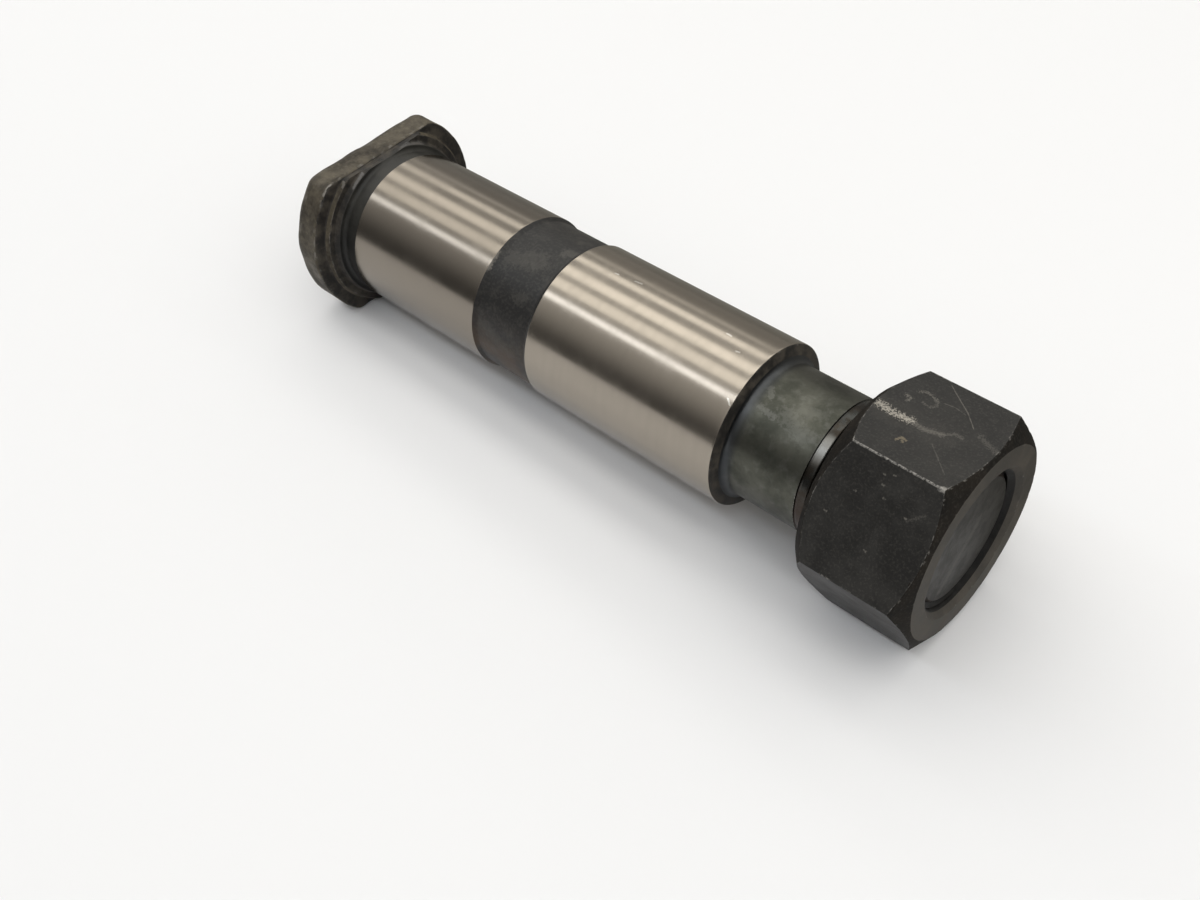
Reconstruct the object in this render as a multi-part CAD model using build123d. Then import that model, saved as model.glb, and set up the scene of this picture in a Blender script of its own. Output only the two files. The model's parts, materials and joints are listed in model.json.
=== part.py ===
from build123d import *
import os
from math import cos, radians, tan

# Spring pin with its hexagon nut, lying along X: head at -X, nut at +X, head flats facing up and down.
# The origin is on the pin's axis, at the middle of the overall length. Millimetres and degrees.

# Head: a forged round flange with two parallel flats
flange_dia = 40.5
flange_thick = 6.8
flats_across = 30.5
flat_corner_round = 3.2
rim_round_outer = 2.6
rim_round_inner = 0.5

# Boss of two low terraces under the flange, cut by the same flats
boss_foot_dia = 35.6
boss_top_dia = 34.6
boss_height = 0.9
ring_foot_dia = 32.2
seat_ring_dia = 31.2
seat_ring_height = 0.9

# Shank: undercut, head land, relieved band, nut land
land_dia = 30.0
land_chamfer = 0.5
undercut_depth = 0.55
undercut_dia = min(seat_ring_dia, land_dia) - 2 * undercut_depth
undercut_length = 3.8
undercut_fillet = 0.7
head_land_length = 32.5
band_depth = 0.55
band_dia = land_dia - 2 * band_depth
band_length = 13.4
band_taper = 0.8
nut_land_length = 41.5

# Shoulder and neck
shoulder_rake = 0.9
shoulder_fillet = 1.1
neck_dia = 24.3
neck_length = 13.7

# Threaded end: the solid is the core of the thread, and its ridges are surface detail
thread_core_dia = 22.1
thread_length = 22.5
end_chamfer = 0.4

# Nut, its corners just proud of the flange's rim, screwed on to a gap short of the neck.
# Its flats stop a few degrees short of the head's.
nut_over_flange = 0.607
nut_across_corners = flange_dia + nut_over_flange
nut_across_flats = nut_across_corners * cos(radians(30))
nut_height = 21.1
nut_back_face_step = 2.3
nut_back_face_dia = nut_across_flats - nut_back_face_step
nut_back_chamfer_angle = 42.0
nut_front_face_step = 1.7
nut_front_face_dia = nut_across_flats - nut_front_face_step
nut_front_chamfer_angle = 30.0
nut_back_mouth_dia = 25.8
nut_front_mouth_dia = 26.6
nut_countersink_angle = 45.0
thread_clearance = 0.14
nut_gap = 3.9
nut_turn = -5.25

# Straight stretch that a fillet leaves on the wall beside it
wall_left = 0.1

# How far a cutting tool reaches past the piece that it trims
tool_reach = 2.0

# Stations along X, each worked out from the one before
overall_length = (flange_thick + boss_height + seat_ring_height + undercut_length + head_land_length
                  + band_length + nut_land_length + shoulder_rake + neck_length + nut_gap + nut_height)
x_head = -overall_length / 2
x_flange = x_head + flange_thick
x_boss = x_flange + boss_height
x_seat = x_boss + seat_ring_height
x_head_land = x_seat + undercut_length
x_band = x_head_land + head_land_length
x_nut_land = x_band + band_length
x_shoulder = x_nut_land + nut_land_length
x_neck = x_shoulder + shoulder_rake
x_thread = x_neck + neck_length
x_end = x_thread + thread_length
x_nut = x_thread + nut_gap
x_nut_front = x_nut + nut_height


def turned(corners):
    """Solid of revolution about X from (x, radius) or (x, radius, rounding) corners."""
    points = [corner[:2] for corner in corners]
    roundings = [corner[2] if len(corner) > 2 else 0 for corner in corners]
    outline = FilletPolyline(*points, radius=roundings, close=True)
    return revolve(make_face(outline), Axis.X, 360)


def flange():
    """Double-D flange: a disc cut by two flats, with rounded corners and a rounded rim."""
    disc = Circle(flange_dia / 2) & Rectangle(2 * flange_dia, flats_across)
    disc = fillet(disc.vertices(), flat_corner_round)
    body = extrude(Plane.YZ.offset(x_head) * disc, flange_thick)
    body = fillet(body.faces().sort_by(Axis.X)[0].edges(), rim_round_outer)
    return fillet(body.faces().sort_by(Axis.X)[-1].edges(), rim_round_inner)


def boss():
    """Two turned terraces under the flange."""
    x_root = x_flange - flange_thick / 2
    return turned([
        (x_root, 0),
        (x_root, boss_foot_dia / 2),
        (x_flange, boss_foot_dia / 2),
        (x_boss, boss_top_dia / 2),
        (x_boss, ring_foot_dia / 2),
        (x_seat, seat_ring_dia / 2),
        (x_seat, 0),
    ])


def shank():
    """Everything turned in one setting: undercut, lands, relieved band, shoulder, neck and thread core."""
    ring_r = seat_ring_dia / 2
    undercut_r = undercut_dia / 2
    band_r = band_dia / 2
    land_r = land_dia / 2
    neck_r = neck_dia / 2
    core_r = thread_core_dia / 2
    undercut_corner = min(undercut_fillet, ring_r - undercut_r - wall_left)
    return turned([
        (x_flange, 0),
        (x_flange, ring_r),
        (x_seat, ring_r),
        (x_seat, undercut_r, undercut_corner),
        (x_head_land - land_chamfer, undercut_r),
        (x_head_land, land_r),
        (x_band, land_r),
        (x_band + band_taper, band_r),
        (x_nut_land - band_taper, band_r),
        (x_nut_land, land_r),
        (x_shoulder, land_r),
        (x_neck, neck_r, shoulder_fillet),
        (x_thread, neck_r),
        (x_thread + neck_r - core_r, core_r),
        (x_end - end_chamfer, core_r),
        (x_end, core_r - end_chamfer),
        (x_end, 0),
    ])


def flat_cutters():
    """Blocks above and below the head that carry its two flats on across the boss."""
    block = Box(x_seat - x_head, 2 * flange_dia, flange_dia)
    height = (flats_across + flange_dia) / 2
    return [block.moved(Location(((x_head + x_seat) / 2, 0, side * height))) for side in (-1, 1)]


def pin():
    """The whole pin: head, boss and shank forged and turned as one piece."""
    return flange() + ((boss() + shank()) - flat_cutters())


def nut_blank():
    """Hexagon bar cut to length, with both ends chamfered by cones that leave round bearing faces."""
    hexagon = RegularPolygon(nut_across_flats / 2, 6, major_radius=False, rotation=nut_turn)
    bar = extrude(Plane.YZ.offset(x_nut) * hexagon, nut_height)
    back_r = nut_back_face_dia / 2
    front_r = nut_front_face_dia / 2
    outer_r = nut_across_corners / 2 + tool_reach
    cones = turned([
        (x_nut, 0),
        (x_nut, back_r),
        (x_nut + (outer_r - back_r) * tan(radians(nut_back_chamfer_angle)), outer_r),
        (x_nut_front - (outer_r - front_r) * tan(radians(nut_front_chamfer_angle)), outer_r),
        (x_nut_front, front_r),
        (x_nut_front, 0),
    ])
    return bar & cones


def nut_hole():
    """Bore at the tips of the nut's thread, opened by a countersink at each mouth."""
    bore_r = thread_core_dia / 2 + thread_clearance
    slope = tan(radians(nut_countersink_angle))
    back_r = nut_back_mouth_dia / 2
    front_r = nut_front_mouth_dia / 2
    return turned([
        (x_nut - tool_reach, 0),
        (x_nut - tool_reach, back_r + tool_reach * slope),
        (x_nut + (back_r - bore_r) / slope, bore_r),
        (x_nut_front - (front_r - bore_r) / slope, bore_r),
        (x_nut_front + tool_reach, front_r + tool_reach * slope),
        (x_nut_front + tool_reach, 0),
    ])


def nut():
    """Hexagon nut, bored and countersunk."""
    return nut_blank() - nut_hole()


pieces = {"pin": pin(), "nut": nut()}
os.makedirs("parts", exist_ok=True)
for name, shape in pieces.items():
    export_step(shape, f"parts/{name}.step")
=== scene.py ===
# %% [markdown]
# # A spring pin and its nut
# A spring pin is the hinge pin of a leaf spring's eye. One steel forging is turned and ground, and a
# blackened hexagon nut is screwed on to its end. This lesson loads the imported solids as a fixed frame,
# and then gives both pieces the fine shapes and the finishes of the real ones: scale on the forged head,
# ground lands, a dark band, an oiled neck, a cut thread, and a nut whose edges are worn bright.

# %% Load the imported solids
import json
from math import atan2, cos, degrees, pi, radians, sin, sqrt, tan

import bmesh
import bpy
import numpy as np
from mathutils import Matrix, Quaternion, Vector, noise


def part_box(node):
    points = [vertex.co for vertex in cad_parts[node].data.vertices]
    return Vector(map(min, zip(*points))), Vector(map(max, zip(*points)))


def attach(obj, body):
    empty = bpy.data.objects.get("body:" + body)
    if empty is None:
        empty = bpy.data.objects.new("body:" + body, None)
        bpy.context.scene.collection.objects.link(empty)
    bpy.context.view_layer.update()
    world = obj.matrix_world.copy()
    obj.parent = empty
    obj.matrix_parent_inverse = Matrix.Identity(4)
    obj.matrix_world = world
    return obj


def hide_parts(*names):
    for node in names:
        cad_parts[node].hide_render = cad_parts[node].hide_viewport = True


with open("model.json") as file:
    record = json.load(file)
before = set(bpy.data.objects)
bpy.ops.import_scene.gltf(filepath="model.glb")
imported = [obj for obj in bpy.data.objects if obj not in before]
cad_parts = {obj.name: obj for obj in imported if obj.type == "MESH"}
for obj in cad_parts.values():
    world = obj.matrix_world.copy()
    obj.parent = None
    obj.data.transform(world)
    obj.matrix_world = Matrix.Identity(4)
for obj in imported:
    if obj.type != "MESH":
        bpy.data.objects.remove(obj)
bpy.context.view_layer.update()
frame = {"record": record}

# %% [markdown]
# ## Camera
# The photograph looks down on the pin from in front of the nut. Its place was found by fitting a pinhole
# camera to the circles of the lands and the nut. A camera could be parented to an empty that it tracks;
# here a place, a point that it looks at and a roll are enough, and they read like a studio note.

# %% Camera
# Sizes are written in millimetres, and MM turns them into the metres that Blender counts in.
MM = 0.001
camera_place = Vector((121.4, -122.1, 161.0)) * MM
camera_aim = Vector((11.75, -20.8, -0.6)) * MM
camera_roll = radians(-6.47)
camera_lens = 39.84
sensor_width = 36.0
nearest_seen = 10 * MM

camera_data = bpy.data.cameras.new("camera")
camera_data.lens = camera_lens
camera_data.sensor_width = sensor_width
camera_data.clip_start = nearest_seen
camera = bpy.data.objects.new("camera", camera_data)
bpy.context.scene.collection.objects.link(camera)
facing = (camera_aim - camera_place).to_track_quat("-Z", "Y")
camera.rotation_mode = "QUATERNION"
camera.rotation_quaternion = facing @ Quaternion((0, 0, 1), camera_roll)
camera.location = camera_place
bpy.context.scene.camera = camera
print("camera stands", round((camera_aim - camera_place).length, 3), "m from what it looks at")

# %% [markdown]
# ## Helpers for shader nodes
# Materials are built from nodes in code. A few small helpers keep that readable: one feeds a node, one
# adds a node and feeds it, two do sums on numbers and on vectors, one maps a range of values to another
# with soft ends, and the others mix two colours, lay several over one another, and say where on the piece
# a point lies.


# %% Node helpers
def feed(tree, made, feeds):
    """Feeds a node's inputs, by name or number, from sockets or plain values."""
    for key, value in feeds.items():
        socket = made.inputs[key]
        if isinstance(value, bpy.types.NodeSocket):
            tree.links.new(value, socket)
        else:
            socket.default_value = value


def node(tree, kind, feeds=None, **settings):
    """Adds a shader node, sets its options and feeds its inputs."""
    made = tree.nodes.new("ShaderNode" + kind)
    for name, value in settings.items():
        setattr(made, name, value)
    feed(tree, made, feeds or {})
    return made


def maths(tree, operation, *values):
    """One sum on one to three values."""
    return node(tree, "Math", dict(enumerate(values)), operation=operation).outputs[0]


def vector_maths(tree, operation, *values):
    """One sum on vectors; its result is the output Vector, or Value where it is a number."""
    return node(tree, "VectorMath", dict(enumerate(values)), operation=operation).outputs


def soft_step(tree, value, start, end, low=0.0, high=1.0):
    """Maps start..end to low..high, with soft ends and nothing beyond them."""
    feeds = {"Value": value, "From Min": start, "From Max": end, "To Min": low, "To Max": high}
    return node(tree, "MapRange", feeds, interpolation_type="SMOOTHSTEP").outputs["Result"]


def mixed(tree, factor, first, second):
    """Two colours mixed by a factor."""
    mix = node(tree, "Mix", data_type="RGBA")
    feed(tree, mix, {0: factor, 6: first, 7: second})
    return mix.outputs[2]


def layered(tree, colour, layers):
    """A colour with others laid over it in turn; a layer is a mask, how much of it counts, and a colour."""
    for mask, share, over in layers:
        cover = mask if share == 1 else maths(tree, "MULTIPLY", mask, share)
        colour = mixed(tree, cover, colour, over)
    return colour


def rgb(red, green, blue):
    """A colour as Blender's sockets want it."""
    return (red, green, blue, 1.0)


def object_place(tree):
    """The point on the piece itself, which moves with the piece."""
    return node(tree, "TexCoord").outputs["Object"]


def split_place(tree):
    """The same point as three numbers, X, Y and Z."""
    return node(tree, "SeparateXYZ", {"Vector": object_place(tree)}).outputs


print("node helpers ready")

# %% [markdown]
# ## Floor
# The pin lies on a plain pale floor: on the lower flat of its head and on the nut's lowest corner. A
# floor could be level at the lowest point, which would leave the head in the air. Here it is tipped by
# the small angle between those two supports, so that both of them touch it and cast their shadow there.
#
# Behind the pin the floor carries painted shade, a darker colour that only rays which the camera does not
# send find there, and it shows in the far edges of the lands. The camera still sees one pale floor. Far
# out the floor fades away, so that no edge of it shows in a flat view.

# %% Floor
pin_low, pin_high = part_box("pin")
nut_low, nut_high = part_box("nut")
floor_size = 1.6
floor_gap = 0.02 * MM
fade_from = 350 * MM
fade_to = 780 * MM
floor_colour = rgb(0.77, 0.775, 0.79)
floor_painted_shade = rgb(0.20, 0.195, 0.18)
floor_roughness = 0.9
floor_gloss = 0.1
behind_from = 5 * MM
behind_to = 30 * MM
rest_inset = 2.5 * MM
nut_rest_x = nut_high.x - rest_inset
head_rest_x = pin_low.x + rest_inset
floor_tip = atan2(pin_low.z - nut_low.z, nut_rest_x - head_rest_x)

floor_mesh = bpy.data.meshes.new("floor")
half = floor_size / 2
corners = [(-half, -half, 0), (half, -half, 0), (half, half, 0), (-half, half, 0)]
floor_mesh.from_pydata(corners, [], [(0, 1, 2, 3)])
floor = bpy.data.objects.new("floor", floor_mesh)
bpy.context.scene.collection.objects.link(floor)
floor.location = (nut_rest_x, 0, nut_low.z - floor_gap)
floor.rotation_euler = (0, floor_tip, 0)

floor_paper = bpy.data.materials.new("floor_paper")
floor_paper.use_nodes = True
paper = floor_paper.node_tree
floor_shader = paper.nodes["Principled BSDF"]
# painted shade: rays that the camera does not send find a darker floor behind the pin
unseen = maths(paper, "SUBTRACT", 1.0, node(paper, "LightPath").outputs["Is Camera Ray"])
painted_shade_behind = soft_step(paper, split_place(paper)["Y"], behind_from, behind_to)
from_middle = vector_maths(paper, "LENGTH", object_place(paper))["Value"]
feed(paper, floor_shader, {
    "Base Color": mixed(paper, maths(paper, "MULTIPLY", unseen, painted_shade_behind), floor_colour, floor_painted_shade),
    "Roughness": floor_roughness,
    "Specular IOR Level": floor_gloss,
    "Alpha": soft_step(paper, from_middle, fade_from, fade_to, 1.0, 0.0),
})
floor_mesh.materials.append(floor_paper)
print("floor tipped by", round(degrees(floor_tip), 2), "degrees")

# %% [markdown]
# ## Light
# The ground lands are almost mirrors, and the photograph shows in them what stood round the pin: four or
# five long lamps overhead as bright stripes, a dim room above the horizon and the pale table below. One
# large soft box would light the pin as well, but the lands would lose their stripes. So long soft lamps
# hang in an arch over the pin, all as long as the room and parallel to its axis.

# %% Overhead lamps
arch_radius = 0.8
lamp_length = 5.0
warm_white = (1.0, 0.98, 0.92)
cool_white = (0.91, 0.95, 1.0)
# where each lamp stands on the arch and how wide it looks, in degrees, its radiance, and its colour
lamps = {
    "lamp_back": (29, 7, 0.52, warm_white),
    "lamp_back_middle": (48, 10, 1.65, warm_white),
    "lamp_top": (73, 14, 1.75, warm_white),
    "lamp_front_middle": (96, 14, 1.42, warm_white),
    "lamp_front": (117, 8, 2.80, cool_white),
}


def long_lamp(name, angle, breadth, radiance, colour):
    """Hangs an area lamp with the given radiance on the arch, facing the pin; returns its power."""
    width = 2 * arch_radius * tan(radians(breadth) / 2)
    data = bpy.data.lights.new(name, "AREA")
    data.shape = "RECTANGLE"
    data.size = lamp_length
    data.size_y = width
    data.color = colour
    data.energy = radiance * pi * lamp_length * width
    lamp = bpy.data.objects.new(name, data)
    away = Vector((0, cos(radians(angle)), sin(radians(angle))))
    lamp.location = away * arch_radius
    lamp.rotation_euler = (radians(angle - 90), 0, 0)
    bpy.context.scene.collection.objects.link(lamp)
    return data.energy


for name, facts in lamps.items():
    print(name, "watts", round(long_lamp(name, *facts), 2))

# %% [markdown]
# The room itself is a world shader: darkest at the horizon in front, less dark behind, and lighter
# towards the ceiling. A photographed room could light the pin too, but a plain gradient keeps the studio
# neutral, and its dark edge draws the long shade along the lands. Where the camera looks past the floor
# it sees a pale backdrop instead, which lights nothing. Steel goes on showing the dim room, because that
# is what the photograph shows in it.

# %% Room
room_front = rgb(0.12, 0.117, 0.114)
room_back = rgb(0.36, 0.345, 0.32)
room_ceiling = rgb(0.74, 0.725, 0.70)
backdrop = rgb(0.88, 0.88, 0.87)
front_side = -0.3
back_side = 0.6
horizon_height = 0.12
ceiling_height = 0.84

world = bpy.data.worlds.new("room")
bpy.context.scene.world = world
world.use_nodes = True
sky = world.node_tree
direction = node(sky, "TexCoord").outputs["Generated"]
heading = node(sky, "SeparateXYZ", {"Vector": direction}).outputs
horizon = mixed(sky, soft_step(sky, heading["Y"], front_side, back_side), room_front, room_back)
lightness = soft_step(sky, heading["Z"], horizon_height, ceiling_height)
room_colour = mixed(sky, lightness, horizon, room_ceiling)
seen = node(sky, "LightPath").outputs["Is Camera Ray"]
feed(sky, sky.nodes["Background"], {"Color": mixed(sky, seen, room_colour, backdrop)})
print("room made")

# %% [markdown]
# ## Shapes
# Both pieces are turned work, so a profile of (x, radius) stations says almost everything. Blender's
# Screw modifier or a spin would turn such a profile, but the head has two flats, the nut has six, and
# both have a thread. So each piece is a grid: one row for each station of the profile and one column for
# each angle, with a radius that may change from column to column. All sizes are in millimetres until the
# mesh is made, and the stations along the axis are read from the frame.

# %% Sizes read from the frame
mounts = {mount["name"]: mount for mount in frame["record"]["mounts"]}


def wall_ends(name):
    """Where the round wall that a mount describes starts and ends along X, and its radius."""
    mount = mounts[name]
    centre = mount["pos_m"][0] / MM
    half_length = mount["dims"]["length_mm"] / 2
    return centre - half_length, centre + half_length, mount["dims"]["r_mm"]


x_head_land, x_band, land_r = wall_ends("land_head_side")
x_nut_land, x_shoulder = wall_ends("land_nut_side")[:2]
x_neck, x_thread, neck_r = wall_ends("neck")
x_head = pin_low.x / MM
x_end = pin_high.x / MM
x_nut = nut_low.x / MM
x_nut_front = nut_high.x / MM
flange_r = pin_high.y / MM
flat_half = pin_high.z / MM
print("lands", round(x_head_land, 1), "to", round(x_shoulder, 1), "mm, radius", land_r)

# %% [markdown]
# Every edge of a real turned part is broken a little, and that small round is what catches the light.
# Bevel modifiers could do it, but on a grid it is simpler to round the profile itself before it is swept.
# Each rounded corner also marks its rows as an edge, so that the finishes later know where steel wears.


# %% Rounded profiles
# past this cosine two directions count as one line, so that no sum divides by zero
straight = 0.9999


def unit(step):
    """Directions of length one, column by column."""
    return step / np.linalg.norm(step, axis=0)


def rounded(corners, columns, steps=4, guard=0.25):
    """Rows along a profile whose corners are rounded by a true arc.

    A corner is (x, radius, round, wear); x and radius may differ from column to column. Rows come back
    as (x, radius) with a wear value for each row. Guard rows keep the shading of long faces flat.
    """
    spots = [np.array([np.full(columns, x, float), np.full(columns, r, float)]) for x, r, *_ in corners]
    rows = []
    wears = []
    for i, here in enumerate(spots):
        size, wear = corners[i][2:]
        if size == 0:
            rows.append(here)
            wears.append(wear)
            continue
        back = unit(spots[i - 1] - here)
        ahead = unit(spots[i + 1] - here)
        cosine = np.clip((back * ahead).sum(0), -straight, straight)
        reach = size * np.sqrt((1 + cosine) / (1 - cosine))
        weight = np.sqrt((1 - cosine) / 2)
        rows.append(here + back * (reach + guard))
        wears.append(0.0)
        for s in np.linspace(0, 1, steps + 1):
            bend = (1 - s) ** 2 * back + s**2 * ahead
            rows.append(here + reach * bend / ((1 - s) ** 2 + 2 * s * (1 - s) * weight + s**2))
            wears.append(wear)
        rows.append(here + ahead * (reach + guard))
        wears.append(0.0)
    return rows, wears


def sweep(rows, wears):
    """Rows from rounded() as one straight grid: x, radius, wear, and no helix."""
    x = np.array([row[0] for row in rows])
    radius = np.array([row[1] for row in rows])
    return x, radius, np.array(wears)[:, None] * np.ones_like(x), 0


print("profiles can be rounded and swept")

# %% [markdown]
# A thread is the one part of the grid that is not straight across: each row follows the helix, so it
# climbs one pitch in a full turn and joins the row one turn further on. A displaced cylinder would show
# steps along the crests; rows that run along the helix keep each crest and root exact. Both threads
# count their turns from one origin, so that the nut's grooves lie over the pin's ridges.

# %% Threads
thread_pitch = 1.5
thread_major_r = 12.0
thread_root_r = 11.08
ridge_phases = np.array([0.0, 0.125, 0.31, 0.48, 0.645, 0.815])
ridge_heights = np.array([1.0, 1.0, 0.52, 0.0, 0.0, 0.52])


def ridge(turns):
    """Height of the thread's ridge, from 0 at the root to 1 at the crest, at a number of turns."""
    return np.interp(turns % 1, np.append(ridge_phases, 1), np.append(ridge_heights, 1))


def helix_rows(start, end, angles, radius_at):
    """Rows that follow the helix from start to end, and how many rows make one turn.

    radius_at(x, height) gives the radius from the station and the height of the ridge there.
    """
    first_turn = int(np.floor((start - x_thread) / thread_pitch)) - 1
    last_turn = int(np.ceil((end - x_thread) / thread_pitch)) + 1
    turns = np.concatenate([turn + ridge_phases for turn in range(first_turn, last_turn)])
    share = angles / (2 * pi)
    x = np.clip(x_thread + thread_pitch * (turns[:, None] + share), start, end)
    height = ridge((x - x_thread) / thread_pitch - share)
    return x, radius_at(x, height), len(ridge_phases)


print("thread of", thread_pitch, "mm pitch, depth", round(thread_major_r - thread_root_r, 2), "mm")

# %% [markdown]
# One function turns grids of rows into a mesh. It joins each row to the next and each column to its
# neighbour, and then welds the points where two grids share a row. The wear of each point goes along as
# an attribute called edge, which the materials read.

# %% Skin
weld_distance = 0.0005 * MM
crease_angle = radians(38)


def skin(name, grids, angles):
    """One mesh from grids (x, radius, wear, rows per turn) over the same columns of angles."""
    points = []
    wears = []
    quads = []
    first = 0
    for x, radius, wear, turn_rows in grids:
        rows, columns = x.shape
        at = first + np.arange(rows * columns).reshape(rows, columns)
        beside = np.roll(at, -1, axis=1)
        beside[:, -1] = at[np.minimum(np.arange(rows) + turn_rows, rows - 1), 0]
        quads.append(np.stack([at[:-1], beside[:-1], beside[1:], at[1:]], -1).reshape(-1, 4))
        points.append(np.stack([x, radius * np.cos(angles), radius * np.sin(angles)], -1).reshape(-1, 3))
        wears.append(wear.reshape(-1))
        first += rows * columns
    mesh = bpy.data.meshes.new(name)
    mesh.from_pydata((np.concatenate(points) * MM).tolist(), [], np.concatenate(quads).tolist())
    worn = mesh.attributes.new("edge", "FLOAT", "POINT")
    worn.data.foreach_set("value", np.concatenate(wears).astype(np.float32))
    build = bmesh.new()
    build.from_mesh(mesh)
    bmesh.ops.remove_doubles(build, verts=build.verts, dist=weld_distance)
    bmesh.ops.dissolve_degenerate(build, edges=build.edges, dist=weld_distance)
    bmesh.ops.recalc_face_normals(build, faces=build.faces)
    open_edges = sum(not edge.is_manifold for edge in build.edges)
    build.to_mesh(mesh)
    build.free()
    print(name, "faces", len(mesh.polygons), "open edges", open_edges)
    return mesh


print("skins can be made; points closer than", weld_distance, "m are welded")

# %% [markdown]
# ## The pin
# The head is a round flange, forged, with two parallel flats that stop the pin turning in its bracket. On
# the real one the flats and the rim run into each other through a small round. The outline is a formula
# of the angle, and it can be drawn in by an inset, which is how the rounded rims at both sides of the
# flange are made: each row of a rim is the outline with a little more inset.

# %% Outline of the head
flange_thick = 6.8
flat_corner_round = 3.2
rim_round_outer = 2.6
rim_round_inner = 0.5
# a flat's radius grows without end towards the rim, where it isn't used; this holds it back
least_sine = 0.1
corner_z = flat_half - flat_corner_round
corner_y = sqrt((flange_r - flat_corner_round) ** 2 - corner_z**2)
corner_start = atan2(corner_z, corner_y)
corner_end = atan2(flat_half, corner_y)
even_columns = 288
close_columns = 11
close_margin = radians(0.8)
closest_columns = radians(0.2)


def head_outline(angles, inset=0.0):
    """Radius of the flange at each angle: a disc, two flats, and an arc where they meet."""
    folded = np.arcsin(np.abs(np.sin(angles)))
    arc = flat_corner_round - inset
    reach = flange_r - flat_corner_round
    off = folded - corner_start
    on_arc = reach * np.cos(off) + np.sqrt(np.maximum(arc**2 - (reach * np.sin(off)) ** 2, 0))
    on_flat = (flat_half - inset) / np.maximum(np.sin(folded), least_sine)
    flat_from = atan2(flat_half - inset, corner_y)
    return np.where(folded < corner_start, flange_r - inset, np.where(folded > flat_from, on_flat, on_arc))


def pin_columns():
    """Angles of the pin's columns: even all round, and closer where the flats meet the rim."""
    even = np.linspace(0, 2 * pi, even_columns, endpoint=False)
    close = np.linspace(corner_start - close_margin, corner_end + close_margin, close_columns)
    angles = np.sort(np.concatenate([even, close, pi - close, pi + close, 2 * pi - close]) % (2 * pi))
    return angles[np.append(np.diff(angles) > closest_columns, True)]


pin_angles = pin_columns()
pin_count = len(pin_angles)
print("the pin has", pin_count, "columns, and its flats end", round(corner_y, 1), "mm from the middle")

# %% [markdown]
# Under the flange stands a boss of two low terraces, cut by flats that lie a little below the flange's
# own. A boolean cut would leave long thin triangles; here the radius of each point is held below the
# flat instead. The flange's rows stop at the boss, so that the two never cross.

# %% Sizes of the boss
boss_foot_r = 17.8
boss_top_r = 17.3
boss_height = 0.9
boss_flat_step = 0.35
boss_start_step = 0.7
ring_foot_r = 16.1
seat_ring_r = 15.6
seat_ring_height = 0.9
undercut_r = 14.45
undercut_fillet = 0.7
land_chamfer = 0.5
x_flange = x_head + flange_thick
x_boss = x_flange + boss_height
x_seat = x_boss + seat_ring_height
boss_start_r = boss_foot_r + boss_start_step
boss_flat_reach = (flat_half - boss_flat_step) / np.maximum(np.abs(np.sin(pin_angles)), least_sine)
boss_root = np.minimum(boss_start_r, boss_flat_reach)
boss_clear = x_seat + undercut_fillet
print("boss from", round(x_flange, 1), "to", round(x_seat, 1), "mm")

# %% Rows of the head
# shares of the way from the middle of the outer face to its rim, and from the inner rim to the boss
outer_face_shares = (0, 0.12, 0.25, 0.38, 0.5, 0.62, 0.74, 0.84, 0.92, 0.97)
inner_face_shares = (0.15, 0.5, 0.85, 1)
outer_rim_turns = np.radians(np.linspace(0, 90, 11))
inner_rim_turns = np.radians(np.linspace(0, 90, 6))
outer_rim_wear = 0.6
inner_rim_wear = 1.0
wall_rows = 8
outer_wall_guard = 0.35
inner_wall_guard = 0.3


def head_rows():
    """Rows from the middle of the head's outer face round both rims to the foot of the boss."""
    rows = []
    for share in outer_face_shares:
        rows.append((x_head, share * head_outline(pin_angles, rim_round_outer), 0.0))
    for turn in outer_rim_turns:
        inset = rim_round_outer * (1 - sin(turn))
        x = x_head + rim_round_outer * (1 - cos(turn))
        rows.append((x, head_outline(pin_angles, inset), outer_rim_wear))
    wall_start = x_head + rim_round_outer + outer_wall_guard
    wall_end = x_flange - rim_round_inner - inner_wall_guard
    for x in np.linspace(wall_start, wall_end, wall_rows):
        rows.append((x, head_outline(pin_angles), 0.0))
    for turn in inner_rim_turns:
        inset = rim_round_inner * (1 - cos(turn))
        x = x_flange - rim_round_inner * (1 - sin(turn))
        rows.append((x, np.maximum(head_outline(pin_angles, inset), boss_root), inner_rim_wear))
    inner = np.maximum(head_outline(pin_angles, rim_round_inner), boss_root)
    for share in inner_face_shares:
        rows.append((x_flange, inner + (boss_root - inner) * share, 0.0))
    x = np.array([np.full(pin_count, row[0]) for row in rows])
    wear = np.array([np.full(pin_count, row[2]) for row in rows])
    return x, np.array([row[1] for row in rows]), wear, 0


head_grid = head_rows()
print("rows of the head:", len(head_grid[0]))


# %% Rows of the boss and the undercut
def boss_and_undercut_rows():
    """Rows down the two terraces and through the undercut to the start of the first land."""
    # x, radius, round, wear
    corners = [
        (x_flange, boss_start_r, 0, 0.0),
        (x_flange, boss_foot_r, 0.35, 0.0),
        (x_boss, boss_top_r, 0.3, 1.0),
        (x_boss, ring_foot_r, 0.25, 0.0),
        (x_seat, seat_ring_r, 0.2, 1.0),
        (x_seat, undercut_r, undercut_fillet, 0.0),
        (x_head_land - land_chamfer, undercut_r, 0.3, 0.0),
        (x_head_land, land_r, 0, 0.3),
    ]
    x, radius, wear, turn_rows = sweep(*rounded(corners, pin_count, guard=0.06))
    return x, np.where(x < boss_clear, np.minimum(radius, boss_flat_reach), radius), wear, turn_rows


boss_grid = boss_and_undercut_rows()
print("rows of the boss and the undercut:", len(boss_grid[0]))

# %% [markdown]
# The shank is turned and ground: an undercut that frees the grinding wheel, a ground land for the first
# bush, a relieved dark band, the longer land for the second bush, a steep shoulder and the neck. All of
# it is one profile. The small rounds on the lands' ends are what a deburring stone leaves.

# %% Shank
band_r = 14.45
band_taper = 0.8
shoulder_rake = 0.9
shoulder_fillet = 1.1
land_end_round = 0.15
chamfer_guard = 0.2
ring_lead = 0.6
x_ring = x_thread - ring_lead


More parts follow.
